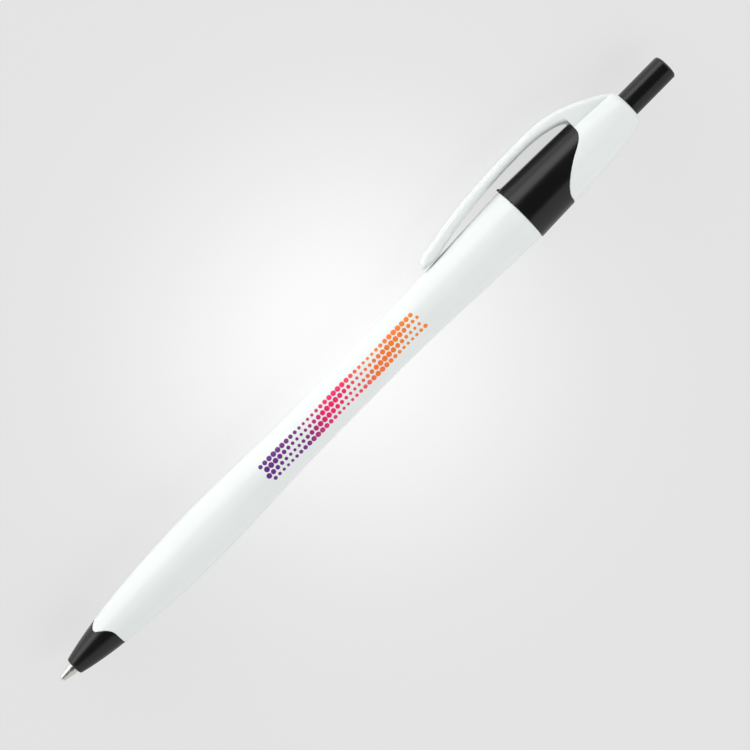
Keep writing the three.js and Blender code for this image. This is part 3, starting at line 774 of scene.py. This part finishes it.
def return_spring():
    """A round wire wound in even turns between two close end turns."""
    travel = SPRING_LENGTH - 2 * WIRE_RADIUS
    middle_pitch = (travel - 2 * SPRING_END_PITCH) / (SPRING_TURNS - 2)
    front = SPRING_SEAT_X + SEAM_GAP + WIRE_RADIUS
    rows = []
    for i in range(SPRING_TURNS * SPRING_TURN_STEPS + 1):
        turn = i / SPRING_TURN_STEPS
        place = front + min(turn, 1) * SPRING_END_PITCH
        place += min(max(turn - 1, 0), SPRING_TURNS - 2) * middle_pitch
        place += max(turn - SPRING_TURNS + 1, 0) * SPRING_END_PITCH
        way = 2 * math.pi * turn
        row = []
        for around in np.linspace(0, 2 * math.pi, WIRE_SIDES, endpoint=False):
            reach = SPRING_RADIUS + WIRE_RADIUS * math.sin(around)
            x = place - WIRE_RADIUS * math.cos(around)
            row.append((x, reach * math.cos(way), reach * math.sin(way)))
        rows.append(row)
    return skin("return_spring_wound", rows, ring_rows=False)


# The print: a field of dots that swell and shrink in waves, a generic pattern
PRINT_FROM_X = 49.5
PRINT_LENGTH = 36.4
PRINT_MIDDLE_ANGLE = 95.0
PRINT_ROWS = 4
PRINT_COLUMNS = 36
PRINT_ROW_PITCH = 1.06
PRINT_WAVES = 2.5
PRINT_ROW_LAG = 1 / 6
DOT_SIDES = 24
DOT_LEAST_RADIUS = 0.28
DOT_MOST_RADIUS = 0.5
INK_LIFT = 0.012
INK_SINK = 0.03
DOT_RIM = 0.03


def printed_dots():
    """Thin discs of ink with a soft rim that lie on the barrel's curved surface."""
    around = np.linspace(0, 2 * math.pi, DOT_SIDES, endpoint=False)
    points, faces = [], []
    for row in range(PRINT_ROWS):
        for column in range(PRINT_COLUMNS):
            share = (column + 0.5 * (row % 2)) / (PRINT_COLUMNS - 0.5)
            swell = 0.5 + 0.5 * math.sin(2 * math.pi * (PRINT_WAVES * share + PRINT_ROW_LAG * row))
            radius = DOT_LEAST_RADIUS + (DOT_MOST_RADIUS - DOT_LEAST_RADIUS) * swell
            x = PRINT_FROM_X + PRINT_LENGTH * share
            across = (row - (PRINT_ROWS - 1) / 2) * PRINT_ROW_PITCH
            rings = (
                (0, INK_LIFT),
                (radius - DOT_RIM, INK_LIFT),
                (radius, INK_LIFT / 3),
                (radius, -INK_SINK),
                (0, -INK_SINK),
            )
            first = len(points)
            for reach, lift in rings:
                for a in around[:1] if reach == 0 else around:
                    px = x + reach * math.cos(a)
                    r = float(front_outline(px)) + lift
                    way = math.radians(PRINT_MIDDLE_ANGLE) + (across + reach * math.sin(a)) / r
                    points.append((px, r * math.cos(way), r * math.sin(way)))
            last = len(points) - 1
            for i in range(DOT_SIDES):
                k = (i + 1) % DOT_SIDES
                faces.append((first, first + 1 + k, first + 1 + i))
                for here in (first + 1, first + 1 + DOT_SIDES):
                    there = here + DOT_SIDES
                    faces.append((here + i, here + k, there + k, there + i))
                faces.append((last, last - DOT_SIDES + i, last - DOT_SIDES + k))
    return mesh_object("barrel_print", points, faces)


# Turned metal: the pitch of its rings in metres, and the wave texture's scale for a pitch of one metre
TURNING_PITCH = 0.00009
WAVE_SCALE_OF_ONE_METRE = 0.314


def new_material(name):
    """A material with its node tree and its shader."""
    material = bpy.data.materials.new(name)
    material.use_nodes = True
    tree = material.node_tree
    return material, tree, tree.nodes["Principled BSDF"]


def noise(tree, scale, detail=3.0, stretch=(1, 1, 1)):
    """Noise in the piece's own place, in features of about 1 / scale metres."""
    place = tree.nodes.new("ShaderNodeTexCoord")
    mapping = tree.nodes.new("ShaderNodeMapping")
    texture = tree.nodes.new("ShaderNodeTexNoise")
    mapping.inputs["Scale"].default_value = stretch
    texture.inputs["Scale"].default_value = scale
    texture.inputs["Detail"].default_value = detail
    tree.links.new(place.outputs["Object"], mapping.inputs["Vector"])
    tree.links.new(mapping.outputs["Vector"], texture.inputs["Vector"])
    return texture.outputs["Fac"]


def ramp(tree, value, *stops):
    """Maps a value to colours, or to greys where a stop holds one number."""
    node = tree.nodes.new("ShaderNodeValToRGB")
    while len(node.color_ramp.elements) < len(stops):
        node.color_ramp.elements.new(0.5)
    for element, (place, colour) in zip(node.color_ramp.elements, stops):
        element.position = place
        element.color = (*colour, 1) if isinstance(colour, tuple) else (colour, colour, colour, 1)
    tree.links.new(value, node.inputs["Fac"])
    return node.outputs["Color"]


def bump(tree, height, strength, distance):
    node = tree.nodes.new("ShaderNodeBump")
    node.inputs["Strength"].default_value = strength
    node.inputs["Distance"].default_value = distance
    tree.links.new(height, node.inputs["Height"])
    return node.outputs["Normal"]


def moulded_plastic(name, dark, light, gloss, rough):
    """Moulded plastic: slight clouding in its colour, an uneven gloss and a faint ripple."""
    material, tree, shader = new_material(name)
    clouding = ramp(tree, noise(tree, 160), (0.3, dark), (0.7, light))
    tree.links.new(clouding, shader.inputs["Base Color"])
    shine = ramp(tree, noise(tree, 420, 5, (0.25, 1, 1)), (0.3, gloss), (0.75, rough))
    tree.links.new(shine, shader.inputs["Roughness"])
    ripple = bump(tree, noise(tree, 900, 2), 0.35, 0.000004)
    tree.links.new(ripple, shader.inputs["Normal"])
    return material


def turned_metal(name, colour, gloss, rough):
    """Turned metal: fine rings round the pen's axis and an uneven shine."""
    material, tree, shader = new_material(name)
    shader.inputs["Metallic"].default_value = 1
    paler = tuple(min(1.0, c * 1.12) for c in colour)
    tint = ramp(tree, noise(tree, 1500), (0.3, colour), (0.7, paler))
    tree.links.new(tint, shader.inputs["Base Color"])
    shine = ramp(tree, noise(tree, 2500, 4, (4, 1, 1)), (0.3, gloss), (0.7, rough))
    tree.links.new(shine, shader.inputs["Roughness"])
    place = tree.nodes.new("ShaderNodeTexCoord")
    rings = tree.nodes.new("ShaderNodeTexWave")
    rings.bands_direction = "X"
    rings.inputs["Scale"].default_value = WAVE_SCALE_OF_ONE_METRE / TURNING_PITCH
    rings.inputs["Distortion"].default_value = 0.6
    tree.links.new(place.outputs["Object"], rings.inputs["Vector"])
    grooves = bump(tree, rings.outputs["Fac"], 0.1, 0.0000006)
    tree.links.new(grooves, shader.inputs["Normal"])
    return material


def printing_ink():
    """Screen printing ink: purple at the nose's end, then magenta, then orange."""
    material, tree, shader = new_material("printing_ink")
    place = tree.nodes.new("ShaderNodeTexCoord")
    parts = tree.nodes.new("ShaderNodeSeparateXYZ")
    share = tree.nodes.new("ShaderNodeMapRange")
    share.inputs["From Min"].default_value = BALL_FRONT + PRINT_FROM_X * MM
    share.inputs["From Max"].default_value = BALL_FRONT + (PRINT_FROM_X + PRINT_LENGTH) * MM
    tree.links.new(place.outputs["Object"], parts.inputs["Vector"])
    tree.links.new(parts.outputs["X"], share.inputs["Value"])
    colour = ramp(
        tree,
        share.outputs["Result"],
        (0.0, (0.13, 0.018, 0.24)),
        (0.24, (0.2, 0.014, 0.22)),
        (0.4, (0.84, 0.009, 0.15)),
        (0.54, (0.86, 0.012, 0.13)),
        (0.68, (0.92, 0.17, 0.02)),
        (1.0, (0.92, 0.23, 0.014)),
    )
    tree.links.new(colour, shader.inputs["Base Color"])
    shine = ramp(tree, noise(tree, 1400, 4), (0.3, 0.3), (0.7, 0.45))
    tree.links.new(shine, shader.inputs["Roughness"])
    return material


DEEP_BLACK = (0.0055, 0.0055, 0.0055)
SOFT_BLACK = (0.0075, 0.0075, 0.0075)

white_plastic = moulded_plastic("white_plastic", (0.815, 0.856, 0.842), (0.832, 0.87, 0.856), 0.22, 0.28)
black_plastic = moulded_plastic("black_plastic", DEEP_BLACK, SOFT_BLACK, 0.22, 0.28)
inner_plastic = moulded_plastic("inner_plastic", (0.62, 0.65, 0.64), (0.68, 0.7, 0.69), 0.38, 0.5)
tube_plastic = moulded_plastic("tube_plastic", (0.68, 0.75, 0.77), (0.75, 0.8, 0.82), 0.22, 0.34)
nickel_silver = turned_metal("nickel_silver", (0.8, 0.79, 0.76), 0.3, 0.4)
ball_metal = turned_metal("ball_metal", (0.74, 0.74, 0.74), 0.16, 0.26)
spring_steel = turned_metal("spring_steel", (0.5, 0.51, 0.52), 0.2, 0.34)
ink = moulded_plastic("ink", (0.006, 0.006, 0.012), (0.012, 0.012, 0.02), 0.08, 0.16)
grease = moulded_plastic("grease", (0.5, 0.44, 0.2), (0.58, 0.52, 0.26), 0.2, 0.34)

dress(nose_cone(), "barrel", "nose_cone", black_plastic)
dress(lower_barrel(), "barrel", "lower_barrel", white_plastic)
dress(center_band(), "barrel", "center_band", black_plastic)
dress(upper_barrel(), "barrel", "upper_barrel", white_plastic)
dress(cam_guide(), "barrel", "cam_guide", inner_plastic)
dress(cam_rotor(), "cam", "cam_rotor", inner_plastic)
dress(push_button(), "button", "push_button", black_plastic)
dress(metal_tip(), "refill", "metal_tip", nickel_silver)
dress(writing_ball(), "ball", "writing_ball", ball_metal)
dress(refill_tube(), "refill", "refill_tube", tube_plastic)
dress(filling("ink_in_tube", INK_X, INK_X + INK_LENGTH), "refill", "ink_column", ink)
follower_x = INK_X + INK_LENGTH + FILLING_GAP
grease_plug = filling("grease_in_tube", follower_x, follower_x + FOLLOWER_LENGTH)
dress(grease_plug, "refill", "ink_follower", grease)

spring = smooth(return_spring())
spring.data.materials.append(spring_steel)
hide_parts("return_spring")
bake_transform(spring)

dots = smooth(printed_dots())
dots.data.materials.append(printing_ink())
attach(dots, "barrel")

# The camera looks square at the clip's plane, with the pen leaning to the right. Lengths from the ball
# and the axis are in millimetres, the distance is in metres.
IMAGE_SIZE = 750
PEN_SLOPE = math.radians(45.42)
CAMERA_DISTANCE = 0.512
FOCAL_PIXELS = 3022
SENSOR_WIDTH = 36
MIDDLE_FROM_BALL = 74.05
MIDDLE_FROM_AXIS = -1.64

image_right = PEN_WAY * math.cos(PEN_SLOPE) - CLIP_WAY * math.sin(PEN_SLOPE)
image_up = PEN_WAY * math.sin(PEN_SLOPE) + CLIP_WAY * math.cos(PEN_SLOPE)
image_middle = Vector(to_row([(MIDDLE_FROM_BALL, MIDDLE_FROM_AXIS, 0)])[0])

camera = bpy.data.objects.new("camera", bpy.data.cameras.new("camera"))
bpy.context.scene.collection.objects.link(camera)
camera.data.sensor_width = SENSOR_WIDTH
camera.data.lens = SENSOR_WIDTH * FOCAL_PIXELS / IMAGE_SIZE
camera.matrix_world = Matrix.Translation(image_middle + SIDE_WAY * CAMERA_DISTANCE) @ Matrix(
    [[image_right[i], image_up[i], SIDE_WAY[i]] for i in range(3)]
).to_4x4()
camera.data.clip_start = 0.01
bpy.context.scene.camera = camera


def softbox(name, lean, width, length, distance, power, glossy=True, rearward=0):
    """A lamp over the pen, leaning from the camera's side towards the clip by an angle, in degrees."""
    way = SIDE_WAY * math.cos(math.radians(lean)) + CLIP_WAY * math.sin(math.radians(lean))
    across = PEN_WAY.cross(way)
    lamp = bpy.data.objects.new(name, bpy.data.lights.new(name, "AREA"))
    bpy.context.scene.collection.objects.link(lamp)
    lamp.data.shape = "RECTANGLE"
    lamp.data.size = length
    lamp.data.size_y = width
    lamp.data.energy = power
    lamp.matrix_world = Matrix.Translation(image_middle + way * distance + PEN_WAY * rearward) @ Matrix(
        [[PEN_WAY[i], across[i], way[i]] for i in range(3)]
    ).to_4x4()
    lamp.visible_camera = False
    lamp.visible_glossy = glossy


softbox("key_softbox", lean=53, width=0.37, length=1.4, distance=0.6, power=1.77)
softbox("clip_side_fill", 60, 0.25, 0.7, distance=0.6, power=0.95, glossy=False, rearward=-0.2)
softbox("overhead_fill", 8, 0.8, 1.2, distance=0.8, power=1.65, glossy=False)
softbox("lower_fill", -66, 0.5, 0.8, distance=0.7, power=2.25, glossy=False, rearward=0.2)

# The floor is pale, with a painted pool of light that makes it a little brighter round the middle of the
# picture.
# To the camera and in reflections most of its tone is its own colour, and the rest is lit, so that it
# keeps the pen's soft shadow.
# In reflections its tone is painted: painted light on the clip's side of the pen and painted shade on
# the other.
FLOOR_HALF = 3.0
FLOOR_EDGE = 0.772
FLOOR_PAINTED_LIGHT_POOL_TONE = 1.0
FLOOR_SEEN = 1.02
FLOOR_LIT_SHARE = 0.2
FLOOR_ROUGHNESS = 0.9
FLOOR_SHINE = 0.1
FLOOR_PAINTED_LIGHT_IN_REFLECTIONS = 1.35
FLOOR_PAINTED_SHADE_IN_REFLECTIONS = 0.7
FLOOR_PAINTED_SIDES_STEP = 0.01
PAINTED_LIGHT_POOL_REACH = 0.033
PAINTED_LIGHT_POOL_OFF_MIDDLE = 0.00427

# The walls' tone on the clip's side and beyond the pen's lower side, and the ceiling's, which is dark
# within a cone of these half angles, in degrees
WALLS_PALE = 0.85
WALLS_LOWER = 0.65
WALLS_TURN = (-0.6, -0.2)
CEILING_DARK = 0.01
CEILING_DARK_ANGLE = 36
CEILING_FADE_ANGLE = 48


def feed(tree, socket, value):
    """Links a socket to another node's result, or sets it to a plain value."""
    if isinstance(value, bpy.types.NodeSocket):
        tree.links.new(value, socket)
    else:
        socket.default_value = value


def math_node(tree, kind, operation, first, second):
    node = tree.nodes.new(kind)
    node.operation = operation
    feed(tree, node.inputs[0], first)
    feed(tree, node.inputs[1], second)
    return node.outputs["Value"]


def map_range(tree, value, from_range, to_range, smoothly=False):
    """A value mapped from one range to another, whose ends may be results of other nodes."""
    node = tree.nodes.new("ShaderNodeMapRange")
    node.interpolation_type = "SMOOTHSTEP" if smoothly else "LINEAR"
    feed(tree, node.inputs["Value"], value)
    for name, given in zip(("From Min", "From Max", "To Min", "To Max"), (*from_range, *to_range)):
        feed(tree, node.inputs[name], given)
    return node.outputs["Result"]


def painted_light_pool(tree, place):
    """A painted pool of light on the floor: from 1 at its middle down to 0 far from it, as a bell curve.
    """
    seen_middle = image_middle + (image_up - image_right) * PAINTED_LIGHT_POOL_OFF_MIDDLE
    middle = seen_middle - SIDE_WAY * (seen_middle.z / SIDE_WAY.z)
    away = math_node(tree, "ShaderNodeVectorMath", "DISTANCE", place, middle)
    share = math_node(tree, "ShaderNodeMath", "DIVIDE", away, PAINTED_LIGHT_POOL_REACH)
    square = math_node(tree, "ShaderNodeMath", "POWER", share, 2)
    return math_node(tree, "ShaderNodeMath", "POWER", 1 / math.e, square)


def floor_paper():
    material, tree, shader = new_material("floor_paper")
    place = tree.nodes.new("ShaderNodeTexCoord").outputs["Object"]
    ray = tree.nodes.new("ShaderNodeLightPath")
    # The floor's colour: its plain tone, with a painted pool of light round the middle of the picture.
    colour = ramp(tree, painted_light_pool(tree, place), (0, FLOOR_EDGE), (1, FLOOR_PAINTED_LIGHT_POOL_TONE))
    tree.links.new(colour, shader.inputs["Base Color"])
    shader.inputs["Roughness"].default_value = FLOOR_ROUGHNESS
    shader.inputs["Specular IOR Level"].default_value = FLOOR_SHINE
    # Painted reflection: the floor's tone in reflections is painted brighter on the clip's side and
    # painted darker, as shade, on the other.
    side = math_node(tree, "ShaderNodeVectorMath", "DOT_PRODUCT", place, CLIP_WAY)
    step = (-FLOOR_PAINTED_SIDES_STEP, FLOOR_PAINTED_SIDES_STEP)
    painted_reflection_tone = map_range(tree, side, step, (FLOOR_PAINTED_SHADE_IN_REFLECTIONS, FLOOR_PAINTED_LIGHT_IN_REFLECTIONS), smoothly=True)
    own_tone_with_painted_light = tree.nodes.new("ShaderNodeEmission")
    tree.links.new(colour, own_tone_with_painted_light.inputs["Color"])
    gain = map_range(tree, ray.outputs["Is Glossy Ray"], (0, 1), (FLOOR_SEEN, painted_reflection_tone))
    tree.links.new(gain, own_tone_with_painted_light.inputs["Strength"])
    rays = (ray.outputs["Is Camera Ray"], ray.outputs["Is Glossy Ray"])
    seen = math_node(tree, "ShaderNodeMath", "MAXIMUM", *rays)
    own_share = math_node(tree, "ShaderNodeMath", "MULTIPLY", seen, 1 - FLOOR_LIT_SHARE)
    blend = tree.nodes.new("ShaderNodeMixShader")
    tree.links.new(own_share, blend.inputs["Fac"])
    tree.links.new(shader.outputs["BSDF"], blend.inputs[1])
    tree.links.new(own_tone_with_painted_light.outputs["Emission"], blend.inputs[2])
    tree.links.new(blend.outputs["Shader"], tree.nodes["Material Output"].inputs["Surface"])
    return material


def studio_floor():
    mesh = bpy.data.meshes.new("studio_floor")
    corners = [(-1, -1), (1, -1), (1, 1), (-1, 1)]
    mesh.from_pydata([(x * FLOOR_HALF, y * FLOOR_HALF, 0) for x, y in corners], [], [(0, 1, 2, 3)])
    floor = bpy.data.objects.new("studio_floor", mesh)
    bpy.context.scene.collection.objects.link(floor)
    mesh.materials.append(floor_paper())


def studio_world():
    """Pale walls, less so beyond the pen's lower side, and a dark ceiling behind the camera."""
    world = bpy.data.worlds.new("studio")
    bpy.context.scene.world = world
    world.use_nodes = True
    tree = world.node_tree
    way = tree.nodes.new("ShaderNodeTexCoord").outputs["Generated"]
    towards_clip = math_node(tree, "ShaderNodeVectorMath", "DOT_PRODUCT", way, CLIP_WAY)
    walls = map_range(tree, towards_clip, WALLS_TURN, (WALLS_LOWER, WALLS_PALE), smoothly=True)
    towards_camera = math_node(tree, "ShaderNodeVectorMath", "DOT_PRODUCT", way, SIDE_WAY)
    cone = [math.cos(math.radians(angle)) for angle in (CEILING_FADE_ANGLE, CEILING_DARK_ANGLE)]
    tone = map_range(tree, towards_camera, cone, (walls, CEILING_DARK), smoothly=True)
    tree.links.new(tone, tree.nodes["Background"].inputs["Color"])


studio_floor()
studio_world()
bpy.context.scene.view_settings.view_transform = "Standard"
